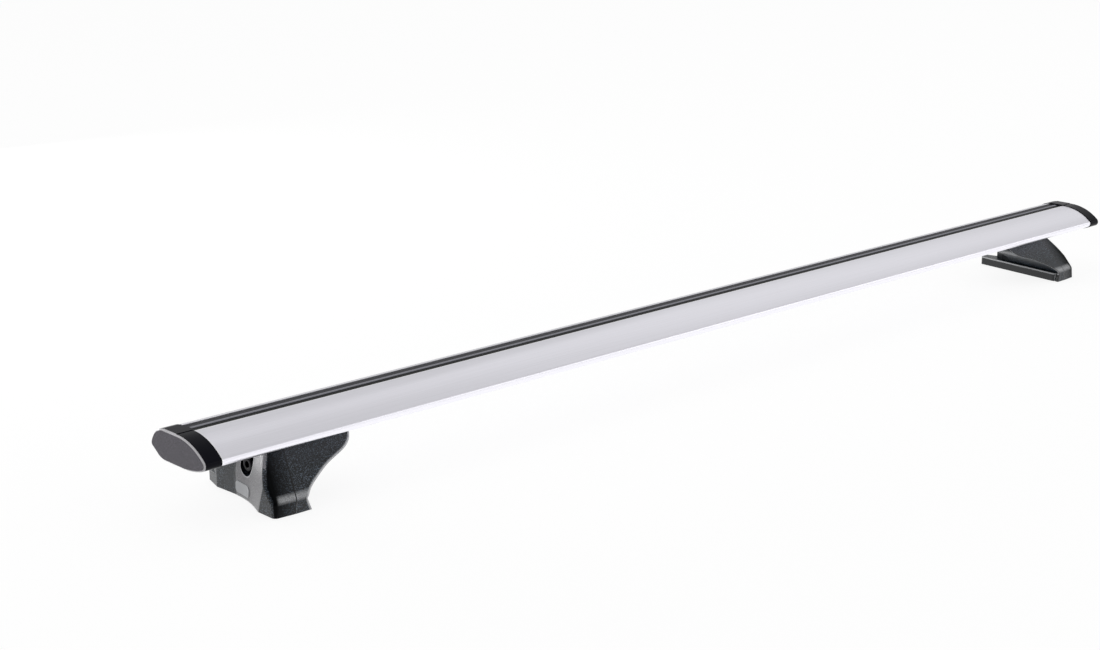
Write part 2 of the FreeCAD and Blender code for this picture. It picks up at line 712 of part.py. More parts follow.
def channel_hook():
    """Double-T piece: a head in the bar's channel, a neck, and a cross bar under the wedge."""
    end = HOOK_START + HOOK_LENGTH
    middle = (HOOK_START + end) / 2
    seat = FOOT_HEIGHT + CHANNEL_LIP + SLIDE_GAP
    half = HOOK_STEM / 2
    stem = block(HOOK_START, end, CHANNEL_V - half, CHANNEL_V + half, HOOK_BAR_BOTTOM, seat + 1)
    wide = HOOK_HEAD_WIDTH / 2
    long = HOOK_HEAD_LENGTH / 2
    quarters = ((-1, -1), (1, -1), (1, 1), (-1, 1))
    head_plan = [(middle + a * long, CHANNEL_V + b * wide, 3) for a, b in quarters]
    head = plan_prism(head_plan, seat, seat + HOOK_HEAD_THICKNESS)
    bar_side = [
        (HOOK_START, HOOK_BAR_BOTTOM), (end, HOOK_BAR_BOTTOM),
        (end, wedge_height(end) - SLIDE_GAP), (HOOK_START, wedge_height(HOOK_START) - SLIDE_GAP),
    ]
    bar = front_prism(bar_side, CHANNEL_V - WEDGE_WIDTH / 2, CHANNEL_V + WEDGE_WIDTH / 2)
    return stem.fuse([head, bar]).removeSplitter()


FOOT_PIECES = {
    "foot_shell": foot_shell,
    "base_plinth": base_plinth,
    "rubber_pad": rubber_pad,
    "steel_bracket": steel_bracket,
    "thrust_washer": thrust_washer,
    "clamp_screw": clamp_screw,
    "clamp_wedge": clamp_wedge,
    "channel_hook": channel_hook,
    "cover_screws": cover_screws,
    "badge_plate": badge_plate,
}


def save(shape, name):
    shape.exportStep("parts/" + name + ".step")


def main():
    os.makedirs("parts", exist_ok=True)
    save(bar_extrusion(), "bar_extrusion")
    save(slot_strip(), "slot_strip")
    cap = end_cap()
    save(cap, "left_end_cap")
    save(cap.mirror(Vector(0, 0, 0), ALONG), "right_end_cap")
    for name, build in FOOT_PIECES.items():
        piece = build()
        piece.translate(Vector(-HALF_LENGTH, 0, 0))
        save(piece, "left_" + name)
        save(piece.mirror(Vector(0, 0, 0), ALONG), "right_" + name)


main()
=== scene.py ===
import math

import bmesh
import bpy
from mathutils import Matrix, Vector


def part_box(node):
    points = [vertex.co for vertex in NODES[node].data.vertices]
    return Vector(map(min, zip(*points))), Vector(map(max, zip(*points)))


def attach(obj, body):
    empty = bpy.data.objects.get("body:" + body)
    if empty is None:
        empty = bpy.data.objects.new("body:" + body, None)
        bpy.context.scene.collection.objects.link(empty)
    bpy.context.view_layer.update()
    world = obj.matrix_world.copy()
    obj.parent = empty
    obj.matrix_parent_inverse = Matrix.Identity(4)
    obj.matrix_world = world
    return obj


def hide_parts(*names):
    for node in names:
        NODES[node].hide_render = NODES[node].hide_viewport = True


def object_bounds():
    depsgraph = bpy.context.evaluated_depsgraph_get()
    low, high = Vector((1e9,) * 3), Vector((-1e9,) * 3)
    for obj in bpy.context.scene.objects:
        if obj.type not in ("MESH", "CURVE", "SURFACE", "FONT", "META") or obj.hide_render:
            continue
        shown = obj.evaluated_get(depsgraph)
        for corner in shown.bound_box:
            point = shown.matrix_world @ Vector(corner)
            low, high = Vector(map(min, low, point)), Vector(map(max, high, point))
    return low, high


bl_info = {
    "name": "Roof crossbar",
    "version": (1, 0, 0),
    "blender": (4, 5, 0),
    "location": "View3D > Sidebar > Crossbar",
    "description": "Finishes, small fittings and studio stage for a roof crossbar with two clamp feet",
    "category": "Object",
}

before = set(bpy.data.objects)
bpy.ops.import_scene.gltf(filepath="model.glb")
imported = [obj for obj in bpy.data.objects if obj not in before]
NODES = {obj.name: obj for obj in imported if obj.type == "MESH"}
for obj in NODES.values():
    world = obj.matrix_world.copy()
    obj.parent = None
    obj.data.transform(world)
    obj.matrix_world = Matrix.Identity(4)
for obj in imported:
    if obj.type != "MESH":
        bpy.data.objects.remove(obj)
SIDES = ("left", "right")
CAD_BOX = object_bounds()
ZINC_PARTS = ("steel_bracket", "thrust_washer", "clamp_wedge", "channel_hook", "cover_screws")

# Places taken from the frame, in metres
BAR_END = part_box("bar_extrusion")[1].x
CAP_END = -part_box("left_end_cap")[0].x
STRIP_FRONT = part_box("slot_strip")[0].y
STRIP_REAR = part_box("slot_strip")[1].y
STRIP_MIDDLE = (STRIP_FRONT + STRIP_REAR) / 2
PANEL_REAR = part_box("left_badge_plate")[1].y
PLINTH_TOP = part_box("left_base_plinth")[1].z

# Marks on the bar, its strip and its caps, in metres: where the painted dark reflection behind the strip
# fades in, the strip's ridge with its painted highlight, and the depth of the cap's matt face
REAR_SHADE_START = STRIP_REAR + 0.003
REAR_SHADE_END = STRIP_REAR + 0.009
RIDGE_HALF_WIDTH = 0.0018
CAP_FACE_DEPTH = 0.0003

# Marks on the foot covers, in metres, but for the seam's lean, which is a slope; most are places of painted
# highlights and painted shade
BEND_HEIGHT = 0.0150
BEND_CORE = 0.0008
BEND_EDGE = 0.0040
SEAM_LEAN = 0.260
SEAM_REACH = 0.5956
SEAM_HALF_WIDTH = 0.0005
CORNER_REACH = SEAM_REACH + 0.019
STREAK_FADE = 0.003
PANEL_REACH = 0.6075
EDGE_RADIUS = 0.0032
CORNER_RADIUS = 0.0010
LIP_HEIGHT = PLINTH_TOP - 0.0008
LIP_HALF_WIDTH = 0.0010

# Which way a face of a cover looks or leans; a pair is where its mask starts and where it ends
FRONT_FACING = (-0.65, -0.55)
INNER_FACING = (-0.85, -0.7)
REAR_FACING = 0.1
OUTER_FACING = 0.5
PALE_LEAN = (0.03, 0.09)
SHADED_LEAN = (-0.16, -0.05)

# How strongly a surface mirrors, for the covers, their dull places, the strip and the caps
COVER_SPECULAR = 0.42
DULL_SPECULAR = 0.05
STRIP_SPECULAR = 0.12
CAP_SPECULAR = 0.05

# The part of a noise's range that most of its values lie in
NOISE_MIDDLE = (0.3, 0.7)

# The clamp screw, in metres; the head's edge is depth and how much less than the head's radius
HEAD_DEPTH = 0.008
HEAD_EDGE = ((0.0, 0.0014), (0.0002, 0.0007), (0.0008, 0.0))
SHANK_RADIUS = 0.004
NECK_LENGTH = 0.0018
THREAD_STOP = 0.0015
TIP_LENGTH = 0.0006
TIP_TAPER = 0.0005
SOCKET_STEP = 0.0002
SOCKET_DEPTH = 0.0045
SPIN_STEPS = 36
WELD_DISTANCE = 1e-6

WHITE = (1.0, 1.0, 1.0)

# The picture's width in pixels and the sensor's in millimetres
IMAGE_WIDTH = 1100
SENSOR_WIDTH = 36.0

# The floor, in metres, and the share of its light that is glow
FLOOR_HALF_SIZE = 40.0
LEFT_FADE = 0.02
FRONT_FADE = 0.05
FLOOR_GLOW_SHARE = 0.80

# Points that the lamps face, in metres, and the way that the least surrounding light comes from
MIDDLE = (0.0, 0.0, 0.06)
NEAR_FOOT = (-0.6, 0.0, 0.03)
DARK_WAY = (-0.66, -0.72, 0.20)

# Name, target, way from the target, distance, width, height and radiance of each lamp
LAMPS = (
    ("far_softbox", MIDDLE, (0.70, 0.25, 0.60), 4.0, 3.0, 2.4, 0.22),
    ("low_right_softbox", MIDDLE, (0.62, -0.70, 0.28), 3.2, 3.2, 1.15, 0.9),
    ("rear_softbox", NEAR_FOOT, (0.03, 0.98, 0.11), 1.7, 1.2, 0.36, 9.0),
    ("overhead_softbox", MIDDLE, (-0.2, 0.3, 1.0), 3.0, 3.0, 1.4, 0.5),
)


def colour_setting(name, description, default):
    return bpy.props.FloatVectorProperty(
        name=name, description=description, default=default, subtype="COLOR", size=3, min=0.0, max=1.0)


def length_setting(name, description, default, low, high):
    return bpy.props.FloatProperty(
        name=name, description=description, default=default, min=low, max=high, unit="LENGTH")


def level_setting(name, description, default, high=1.0):
    return bpy.props.FloatProperty(
        name=name, description=description, default=default, min=0.0, max=high, subtype="FACTOR")


def angle_setting(name, description, degrees):
    return bpy.props.FloatProperty(
        name=name, description=description, default=math.radians(degrees), subtype="ANGLE")


class CrossbarFinish(bpy.types.PropertyGroup):
    """Colours and grain sizes of the crossbar's surfaces."""

    aluminium: colour_setting("Aluminium", "Colour of the anodised bar", (0.838, 0.830, 0.886))
    aluminium_roughness: level_setting("Bar roughness", "Roughness of the anodised bar", 0.34)
    # Reach of the painted highlight along the bar's slot and cut ends
    bar_edge_highlight: length_setting(
        "Bright edge", "Reach of the bright line along the bar's slot and cut ends", 0.0009, 0.0, 0.01)
    strip_rubber: colour_setting("Strip rubber", "Colour of the rubber in the slot", (0.018, 0.018, 0.0205))
    cap_gloss: colour_setting("Cap hood", "Colour of the cap's glossy hood", (0.0055, 0.0055, 0.0100))
    cap_face: colour_setting("Cap face", "Colour of the cap's matt end face", (0.200, 0.192, 0.214))
    # Painted highlight: the pale colour on the bevel round the cap's face
    cap_bevel_highlight: colour_setting(
        "Cap bevel", "Colour of the pale bevel round the cap's face", (0.82, 0.81, 0.84))
    cap_bevel: length_setting("Bevel width", "Width of the pale bevel", 0.0016, 0.0, 0.01)
    cover_plastic: colour_setting(
        "Cover plastic", "Colour of the grained foot covers", (0.0095, 0.0122, 0.0155))
    # Painted light: the pale colour of the outer cheek round the key hole
    cheek_light: colour_setting(
        "Cheek panel", "Colour of the paler panel round the key hole", (0.205, 0.202, 0.212))
    # Painted highlight colour of the covers: for the edges, the streak along the bend and the plinth's top
    # edge
    cover_highlight: colour_setting("Moulded rim", "Colour of the worn rims of the covers", (0.80, 0.81, 0.83))
    grain: length_setting("Grain size", "Size of the moulded grain on the covers", 0.0011, 0.0001, 0.01)
    plate_colour: colour_setting("Plate", "Colour of the plain plates on the cheeks", (0.55, 0.56, 0.58))
    dark_steel: colour_setting("Dark steel", "Colour of the blackened clamp screws", (0.012, 0.012, 0.0135))
    zinc: colour_setting("Zinc", "Colour of the zinc-plated steel", (0.52, 0.53, 0.55))


class CrossbarFittings(bpy.types.PropertyGroup):
    """Sizes of the fittings that the scene models in full."""

    thread_pitch: length_setting(
        "Thread pitch", "Pitch of the clamp screw's thread", 0.00125, 0.0005, 0.003)
    thread_depth: length_setting(
        "Thread depth", "Depth of the clamp screw's thread", 0.0007, 0.0001, 0.002)
    socket_width: length_setting(
        "Socket", "Width across the flats of the clamp screw's socket", 0.006, 0.003, 0.01)


class CrossbarStage(bpy.types.PropertyGroup):
    """Camera and light."""

    camera_place: bpy.props.FloatVectorProperty(
        name="Camera place", description="Where the camera stands", subtype="TRANSLATION", size=3,
        unit="LENGTH", default=(-1.4967, -1.3411, 0.6020))
    heading: angle_setting("Heading", "Direction the camera looks in, from the bar's length", 46.83)
    pitch: angle_setting("Pitch", "How far the camera looks down", 15.61)
    focal_pixels: bpy.props.FloatProperty(
        name="Focal length", description="Focal length in pixels of the picture", default=1933.84,
        min=100.0, subtype="PIXEL")
    light_level: level_setting("Light level", "Level that all the lamps are multiplied by", 1.0, 10.0)
    surround: level_setting("Surround", "Level of the even light from all round", 0.66, 5.0)


class Tree:
    """Short ways to add nodes to a node tree."""

    def __init__(self, tree):
        self.tree = tree

    def node(self, kind, **settings):
        made = self.tree.nodes.new(kind)
        for key, value in settings.items():
            setattr(made, key, value)
        return made

    def feed(self, entry, value):
        """Links another node's result to an entry, or sets the entry's own value."""
        if isinstance(value, bpy.types.NodeSocket):
            self.tree.links.new(value, entry)
        elif entry.type == "RGBA":
            entry.default_value = (*value, 1.0)
        else:
            entry.default_value = value

    def result(self, kind, wanted, entries, **settings):
        """The wanted output of a new node whose entries are fed."""
        made = self.node(kind, **settings)
        for key, value in entries.items():
            self.feed(made.inputs[key], value)
        return made.outputs[wanted]

    def part(self, vector, name):
        return self.result("ShaderNodeSeparateXYZ", name, {"Vector": vector})

    def math(self, operation, *values):
        return self.result("ShaderNodeMath", "Value", dict(enumerate(values)), operation=operation)

    def product(self, first, *others):
        for value in others:
            first = self.math("MULTIPLY", first, value)
        return first

    def above(self, value, limit):
        """One above a limit, nothing elsewhere."""
        return self.math("GREATER_THAN", value, limit)

    def below(self, value, limit):
        """One below a limit, nothing elsewhere."""
        return self.math("LESS_THAN", value, limit)

    def near(self, value, place, reach):
        """One within reach of a place, nothing elsewhere."""
        return self.below(self.math("ABSOLUTE", self.math("SUBTRACT", value, place)), reach)

    def spread(self, value, low, high, from_low=0.0, from_high=1.0, **settings):
        """A value's range stretched to another, and held at its ends."""
        entries = {"Value": value, "To Min": low, "To Max": high}
        entries.update({"From Min": from_low, "From Max": from_high})
        return self.result("ShaderNodeMapRange", "Result", entries, **settings)

    def mix_shaders(self, factor, first, second):
        return self.result("ShaderNodeMixShader", "Shader", {"Fac": factor, 1: first, 2: second})


class Surface(Tree):
    """A new material, with nodes that follow its object."""

    def __init__(self, name):
        self.material = bpy.data.materials.new(name)
        self.material.use_nodes = True
        super().__init__(self.material.node_tree)
        self.shader = self.tree.nodes["Principled BSDF"]
        self.place = self.node("ShaderNodeTexCoord").outputs["Object"]

    def axis(self, name):
        return self.part(self.place, name)

    def reach(self):
        """Distance from the bar's middle, the same towards both ends."""
        return self.math("ABSOLUTE", self.axis("X"))

    def side(self):
        """One on the right foot, minus one on the left."""
        return self.math("SIGN", self.axis("X"))

    def facing(self, name):
        """One part of the direction that a face looks in."""
        return self.part(self.node("ShaderNodeNewGeometry").outputs["True Normal"], name)

    def rounded(self, radius):
        """Normal as if the edges were rounded by a radius."""
        return self.result("ShaderNodeBevel", "Normal", {"Radius": radius}, samples=6)

    def leaning(self, radius):
        """How far the rounded normal leans along the bar from the face's own, zero away from edges."""
        flat = self.node("ShaderNodeNewGeometry").outputs["Normal"]
        normals = {0: self.rounded(radius), 1: flat}
        return self.part(self.result("ShaderNodeVectorMath", "Vector", normals, operation="SUBTRACT"), "X")

    def stretched(self, *scale):
        """The place with each axis scaled."""
        return self.result("ShaderNodeMapping", "Vector", {"Vector": self.place, "Scale": scale})

    def noise(self, vector, scale, detail=2.0, roughness=0.5):
        entries = {"Vector": vector, "Scale": scale, "Detail": detail, "Roughness": roughness}
        return self.result("ShaderNodeTexNoise", "Fac", entries)

    def mix(self, factor, first, second):
        entries = {"Factor": factor, "A": first, "B": second}
        return self.result("ShaderNodeMix", "Result", entries, data_type="RGBA")

    def layered(self, colour, *layers):
        """Lays further colours over a first one, each where its own mask is one."""
        for mask, over in layers:
            colour = self.mix(mask, colour, over)
        return colour

    def bump(self, height, strength, distance, under=None):
        entries = {"Strength": strength, "Distance": distance, "Height": height}
        if under is not None:
            entries["Normal"] = under
        return self.result("ShaderNodeBump", "Normal", entries)

    def finish(self, colour, roughness, normal, metallic=0.0, specular=0.5):
        entries = {"Base Color": colour, "Roughness": roughness, "Normal": normal,
                   "Metallic": metallic, "Specular IOR Level": specular}
        for name, value in entries.items():
            self.feed(self.shader.inputs[name], value)
        return self.material


def shade(colour, factor):
    return tuple(min(1.0, channel * factor) for channel in colour)


def dress(node_name, material):
    """Gives a node its finish in every material slot."""
    node = NODES[node_name]
    for slot in node.material_slots:
        slot.material = material
    if not node.material_slots:
        node.data.materials.append(material)


def fine_brushing(finish):
    """Anodised aluminium, finely brushed along the bar, with a painted highlight along the slot's edge and
    the cut ends, and a painted dark reflection on the top behind the strip.
    """
    made = Surface("Brushed aluminium")
    base = finish.aluminium
    # Painted highlight: white lines along the slot's front edge and at the cut ends
    slot_highlight = made.near(made.axis("Y"), STRIP_FRONT, finish.bar_edge_highlight)
    cut_end_highlight = made.near(made.reach(), BAR_END, finish.bar_edge_highlight)
    # Painted dark reflection: the top behind the strip fades to a fifth of the aluminium's colour
    painted_rear = made.spread(made.axis("Y"), 0.0, 1.0, REAR_SHADE_START, REAR_SHADE_END)
    lines = made.noise(made.stretched(6.0, 2400.0, 2400.0), 1.0, 3.0, 0.6)
    clouds = made.noise(made.stretched(4.0, 18.0, 18.0), 1.0)
    brushed = made.mix(made.spread(lines, 0.0, 1.0, *NOISE_MIDDLE), shade(base, 0.95), shade(base, 1.05))
    colour = made.layered(
        brushed,
        (made.spread(clouds, 0.0, 0.35, *NOISE_MIDDLE), shade(base, 0.96)),
        (made.math("MAXIMUM", slot_highlight, cut_end_highlight), WHITE),
        (painted_rear, shade(base, 0.20)),
    )
    smoothest = finish.aluminium_roughness - 0.05
    roughest = finish.aluminium_roughness + 0.06
    roughness = made.spread(lines, smoothest, roughest, *NOISE_MIDDLE)
    return made.finish(colour, roughness, made.bump(lines, 0.25, 0.00003), metallic=1.0)


def strip_rubber(finish):
    """Extruded rubber with faint draw lines, with a painted highlight on the ridge and painted light on the
    band behind it.
    """
    made = Surface("Strip rubber")
    base = finish.strip_rubber
    lines = made.noise(made.stretched(5.0, 1500.0, 1500.0), 1.0)
    specks = made.noise(made.place, 2600.0)
    across = made.math("SUBTRACT", made.axis("Y"), STRIP_MIDDLE)
    # Painted highlight on the ridge and painted light on the band behind it, over a darkened front that is
    # painted shade
    ridge = made.below(made.math("ABSOLUTE", across), RIDGE_HALF_WIDTH)
    painted_rear = made.above(across, RIDGE_HALF_WIDTH)
    drawn = made.mix(lines, shade(base, 0.05), shade(base, 0.3))
    colour = made.layered(drawn, (painted_rear, shade(base, 2.2)), (ridge, shade(base, 15.0)))
    normal = made.bump(specks, 0.3, 0.00005, made.bump(lines, 0.3, 0.00005))
    return made.finish(colour, made.spread(specks, 0.42, 0.6), normal, specular=STRIP_SPECULAR)


def cap_plastic(finish):
    """Glossy hood, with a painted highlight on the bevel and a matt grained face at each end of the bar."""
    made = Surface("Cap plastic")
    bevel = made.above(made.reach(), CAP_END - finish.cap_bevel)
    face = made.above(made.reach(), CAP_END - CAP_FACE_DEPTH)
    grain = made.noise(made.place, 2200.0, 3.0)
    waves = made.noise(made.place, 90.0)
    specks = made.spread(grain, 0.0, 1.0, 0.35, 0.65)
    grained = made.mix(specks, shade(finish.cap_face, 0.70), shade(finish.cap_face, 1.30))
    # Painted highlight on the bevel round the face
    bevel_highlight = made.mix(waves, shade(finish.cap_bevel_highlight, 0.85), shade(finish.cap_bevel_highlight, 1.1))
    colour = made.layered(finish.cap_gloss, (bevel, bevel_highlight), (face, grained))
    roughness = made.math("ADD", made.product(face, 0.38), made.spread(waves, 0.16, 0.26))
    normal = made.bump(made.product(grain, face), 0.5, 0.00006, made.bump(waves, 0.05, 0.0002))
    return made.finish(colour, roughness, normal, specular=CAP_SPECULAR)


def front_masks(made, fine):
    """On the cover's front: its painted shade on the corner, its painted highlight along the bend, its flat
    part and its seam.
    """
    front = made.spread(made.facing("Y"), 1.0, 0.0, *FRONT_FACING)
    seam_reach = made.math("ADD", made.reach(), made.product(made.axis("Z"), SEAM_LEAN))
    beyond_seam = made.above(seam_reach, SEAM_REACH)
    darkening = made.spread(seam_reach, 0.2, 1.0, SEAM_REACH, CORNER_REACH)
    # Painted shade: the front's outer corner beyond the seam is darkened
    corner = made.product(front, beyond_seam, darkening)
    # Painted highlight: a pale streak along the bend between the front and the skirt
    from_bend = made.math("ABSOLUTE", made.math("SUBTRACT", made.axis("Z"), BEND_HEIGHT))
    band = made.spread(from_bend, 1.0, 0.0, BEND_CORE, BEND_EDGE)
    fading = made.spread(seam_reach, 1.0, 0.0, CORNER_REACH - STREAK_FADE, CORNER_REACH)
    rubbed = made.product(band, fading, front, made.spread(fine, 0.30, 1.0, 0.42, 0.58))
    flat = made.product(front, made.below(seam_reach, SEAM_REACH))
    seam = made.product(made.near(seam_reach, SEAM_REACH, SEAM_HALF_WIDTH), front)
    return corner, rubbed, flat, seam


def side_masks(made):
    """On the cover's sides: painted light on its outer cheek, its inner side made smoother and given
    painted shade, and a painted highlight along the plinth's top edge on that side.
    """
    outward = made.product(made.facing("X"), made.side())
    behind = made.above(made.facing("Y"), REAR_FACING)
    beside = made.math("MAXIMUM", made.below(made.reach(), PANEL_REACH), behind)
    # Painted light on the outer cheek's rearward facets
    panel = made.product(made.above(outward, OUTER_FACING), made.below(made.axis("Y"), PANEL_REAR), beside)
    # The inner side is smoother, and darkened as painted shade
    smooth_shaded_side = made.spread(outward, 1.0, 0.0, *INNER_FACING)
    # Painted highlight along the plinth's top inner edge
    lip_highlight = made.product(smooth_shaded_side, made.near(made.axis("Z"), LIP_HEIGHT, LIP_HALF_WIDTH))
    return panel, smooth_shaded_side, lip_highlight


def edge_masks(made, flat, panel):
    """Along the edges: painted highlights on the edges that lean one way and round the key hole, and
    painted shade on those that lean the other way.
    """
    lean = made.leaning(EDGE_RADIUS)
    # Painted highlight on the wing's edges and the key hole's rim
    wing_highlight = made.product(made.spread(lean, 0.0, 1.0, *PALE_LEAN), flat)
    hole_lean = made.product(lean, made.side())
    hole_highlight = made.product(made.spread(hole_lean, 1.0, 0.0, *SHADED_LEAN), panel)
    # Painted shade on the edges that lean away from the light
    painted_edge_shade = made.product(made.spread(lean, 1.0, 0.0, *SHADED_LEAN), flat)
    return made.math("MAXIMUM", wing_highlight, hole_highlight), painted_edge_shade


def grained_plastic(finish):
    """Moulded black plastic with a fine raised grain, its pale specks painted into the colour as glints of
    light.
    """
    made = Surface("Grained plastic")
    black = finish.cover_plastic
    rim = finish.cover_highlight
    grain = made.noise(made.place, 1.0 / finish.grain, 2.0, 0.7)
    fine = made.noise(made.place, 2.6 / finish.grain)
    clouds = made.noise(made.place, 30.0)
    specks = made.spread(grain, 0.0, 1.0, 0.51, 0.63)
    corner, rubbed, flat, seam = front_masks(made, fine)
    panel, smooth_shaded_side, lip_highlight = side_masks(made)
    painted_highlight, painted_edge_shade = edge_masks(made, flat, panel)
    colour = made.layered(
        # Painted glints: the grain's pale specks are painted into the colour
        made.mix(specks, shade(black, 0.2), shade(black, 14.0)),
        (made.spread(clouds, 0.0, 0.4, *NOISE_MIDDLE), shade(black, 0.6)),
        # Painted shade on the front's outer corner
        (corner, shade(black, 0.15)),
        # Painted highlight along the bend
        (rubbed, shade(rim, 0.80)),
        # Painted light on the outer cheek
        (panel, made.mix(specks, finish.cheek_light, shade(finish.cheek_light, 1.8))),
        # Painted highlight on the edges
        (painted_highlight, rim),
        # Painted shade on the edges
        (painted_edge_shade, shade(black, 0.1)),
        (seam, shade(black, 0.1)),
        # Painted shade: the inner side under the wing is darkened to half
        (smooth_shaded_side, shade(black, 0.5)),
        # Painted highlight along the plinth's top inner edge
        (lip_highlight, shade(rim, 0.6)),
    )
    height = made.math("ADD", grain, made.product(fine, 0.5))
    roughness = made.spread(height, 0.26, 0.42, 0.5, 1.0)
    grained = made.math("SUBTRACT", 1.0, made.product(smooth_shaded_side, 0.85))
    normal = made.bump(made.product(height, grained), 0.6, 0.00026, made.rounded(CORNER_RADIUS))
    dull = made.math("MAXIMUM", corner, made.product(smooth_shaded_side, made.above(made.axis("Z"), PLINTH_TOP)))
    made.shader.inputs["Specular IOR Level"].default_value = COVER_SPECULAR
    specular = made.spread(dull, COVER_SPECULAR, DULL_SPECULAR)
    return made.finish(colour, roughness, normal, specular=specular)


def zinc_plate(finish):
    """Zinc-plated steel with faint rolling marks and cloudy patches."""
    made = Surface("Zinc plate")
    clouds = made.noise(made.place, 160.0, 3.0)
    marks = made.noise(made.stretched(200.0, 900.0, 200.0), 1.0)
    colour = made.mix(clouds, shade(finish.zinc, 0.82), shade(finish.zinc, 1.12))
    normal = made.bump(marks, 0.15, 0.00004)
    return made.finish(colour, made.spread(clouds, 0.28, 0.44), normal, metallic=1.0)


def dark_steel(finish):
    """Blackened steel of the clamp screws, rubbed paler in patches."""
    made = Surface("Blackened steel")
    clouds = made.noise(made.place, 260.0, 3.0)
    patches = made.spread(clouds, 0.0, 1.0, 0.4, 0.75)
    colour = made.mix(patches, finish.dark_steel, shade(finish.dark_steel, 2.5))
    normal = made.bump(clouds, 0.15, 0.00005)
    return made.finish(colour, made.spread(clouds, 0.30, 0.46), normal, metallic=1.0)


def plate_finish(finish):
    """Plain satin plate."""
    made = Surface("Satin plate")
    clouds = made.noise(made.place, 300.0)
    colour = made.mix(clouds, shade(finish.plate_colour, 0.95), shade(finish.plate_colour, 1.05))
    return made.finish(colour, made.spread(clouds, 0.26, 0.36), made.bump(clouds, 0.1, 0.00005))


def new_object(name, data):
    made = bpy.data.objects.new(name, data)
    bpy.context.scene.collection.objects.link(made)
    return made


def new_piece(name, build, material):
    """A mesh object from a bmesh that build fills in."""
    mesh = bpy.data.meshes.new(name)
    shape = bmesh.new()
    build(shape)
    bmesh.ops.remove_doubles(shape, verts=shape.verts, dist=WELD_DISTANCE)
    bmesh.ops.recalc_face_normals(shape, faces=shape.faces)
    shape.to_mesh(mesh)
    shape.free()
    mesh.materials.append(material)
    return new_object(name, mesh)


def screw_outline(length, head_radius, fittings):
    """Depth and radius of each point from the socket's rim, over the head and along to the tip."""
    root = SHANK_RADIUS - fittings.thread_depth
    outline = [(0.0, fittings.socket_width / math.sqrt(3))]
    outline += [(depth, head_radius - less) for depth, less in HEAD_EDGE]
    place = HEAD_DEPTH + NECK_LENGTH
    outline += [(HEAD_DEPTH, head_radius), (HEAD_DEPTH, SHANK_RADIUS), (place, SHANK_RADIUS)]
    while place < length - THREAD_STOP:
        for turn, radius in ((0.35, root), (0.5, root), (0.85, SHANK_RADIUS), (1.0, SHANK_RADIUS)):
            outline.append((place + fittings.thread_pitch * turn, radius))
        place += fittings.thread_pitch
    return outline + [(length - TIP_LENGTH, root), (length, root - TIP_TAPER), (length, 0.0)]


def of_kind(items, kind):
    return [item for item in items if isinstance(item, kind)]


def sink_socket(shape, start, along, width):
    """Turns the open rim of the head's face into a hexagon, sinks it and closes its floor."""
    rim = [edge for edge in shape.edges if edge.is_boundary]
    edge_step = bmesh.ops.extrude_edge_only(shape, edges=rim)["geom"]
    for point in of_kind(edge_step, bmesh.types.BMVert):
        offset = point.co - start
        angle = math.atan2(offset.z, offset.y)
        turned = (angle + math.pi / 6) % (math.pi / 3) - math.pi / 6
        radius = width / 2 / math.cos(turned)
        across = Vector((0, math.cos(angle) * radius, math.sin(angle) * radius))
        point.co = start + across + along * SOCKET_STEP
    walls = bmesh.ops.extrude_edge_only(shape, edges=of_kind(edge_step, bmesh.types.BMEdge))["geom"]
    bmesh.ops.translate(shape, verts=of_kind(walls, bmesh.types.BMVert), vec=along * SOCKET_DEPTH)
    bmesh.ops.contextual_create(shape, geom=of_kind(walls, bmesh.types.BMEdge))


def spun_screw(shape, side, fittings):
    """Clamp screw with a rounded head, a hexagon socket and a thread cut round its shank."""
    low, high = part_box(side + "_clamp_screw")
    centre = (low + high) / 2
    on_left = side == "left"
    along = Vector((1.0 if on_left else -1.0, 0, 0))
    start = Vector((low.x if on_left else high.x, centre.y, centre.z))
    outline = screw_outline(high.x - low.x, (high.y - low.y) / 2, fittings)
    line = [shape.verts.new(start + along * depth + Vector((0, 0, radius))) for depth, radius in outline]
    edges = [shape.edges.new(pair) for pair in zip(line, line[1:])]
    bmesh.ops.spin(
        shape, geom=line + edges, cent=start, axis=along, angle=math.tau, steps=SPIN_STEPS, use_merge=True)
    bmesh.ops.remove_doubles(shape, verts=shape.verts, dist=WELD_DISTANCE)
    sink_socket(shape, start, along, fittings.socket_width)


class CROSSBAR_OT_bar(bpy.types.Operator):
    """Finishes the extruded bar and the rubber strip in its slot."""

    bl_idname = "crossbar.bar"
    bl_label = "Finish the bar and strip"

    def execute(self, context):
        finish = context.scene.crossbar_finish
        dress("bar_extrusion", fine_brushing(finish))
        dress("slot_strip", strip_rubber(finish))
        return {"FINISHED"}


class CROSSBAR_OT_caps(bpy.types.Operator):
    """Finishes the two end caps."""

    bl_idname = "crossbar.caps"
    bl_label = "Finish the end caps"

    def execute(self, context):
        plastic = cap_plastic(context.scene.crossbar_finish)
        for side in SIDES:
            dress(side + "_end_cap", plastic)
        return {"FINISHED"}


class CROSSBAR_OT_feet(bpy.types.Operator):
    """Finishes the foot covers, plinths, pads and plates."""

    bl_idname = "crossbar.feet"
    bl_label = "Finish the feet"

    def execute(self, context):
        finish = context.scene.crossbar_finish
        plastic = grained_plastic(finish)
        rubber = strip_rubber(finish)
        plate = plate_finish(finish)
        for side in SIDES:
            dress(side + "_foot_shell", plastic)
            dress(side + "_base_plinth", plastic)
            dress(side + "_rubber_pad", rubber)
            dress(side + "_badge_plate", plate)
        return {"FINISHED"}


